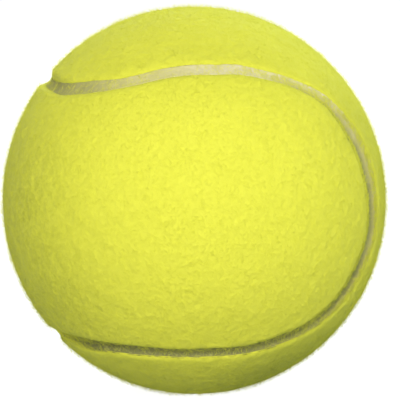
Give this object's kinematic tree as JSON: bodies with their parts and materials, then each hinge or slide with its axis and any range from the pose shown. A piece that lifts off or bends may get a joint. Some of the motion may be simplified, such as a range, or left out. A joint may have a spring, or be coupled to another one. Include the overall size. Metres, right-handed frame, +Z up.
{
  "type": "tennis ball",
  "caption": "Hollow rubber ball with a two-part core, covered by two dog-bone felt panels with a recessed rubber seam between them.",
  "frame": {"origin": "centre of the ball", "axes": "+X along the four-fold axis of the seam, out through the waist of felt_panel_b; felt_panel_a's waist faces -X and its lobes face front (-Y) and back (+Y); +Z up"},
  "size_m": [0.067, 0.067, 0.067],
  "materials": {
    "felt": "short napped wool and nylon felt, bright yellow",
    "seam_rubber": "matt moulded rubber, grey beige",
    "core_rubber": "matt pressed rubber, dark grey",
    "rubber_cement": "satin dried cement, amber"
  },
  "bodies": {
    "root": {"core_half_left": "core_rubber", "core_half_right": "core_rubber", "core_joint_cement": "rubber_cement", "panel_cement_a": "rubber_cement", "panel_cement_b": "rubber_cement", "felt_panel_a": "felt", "felt_panel_b": "felt", "seam_rubber": "seam_rubber"}
  },
  "joints": []
}
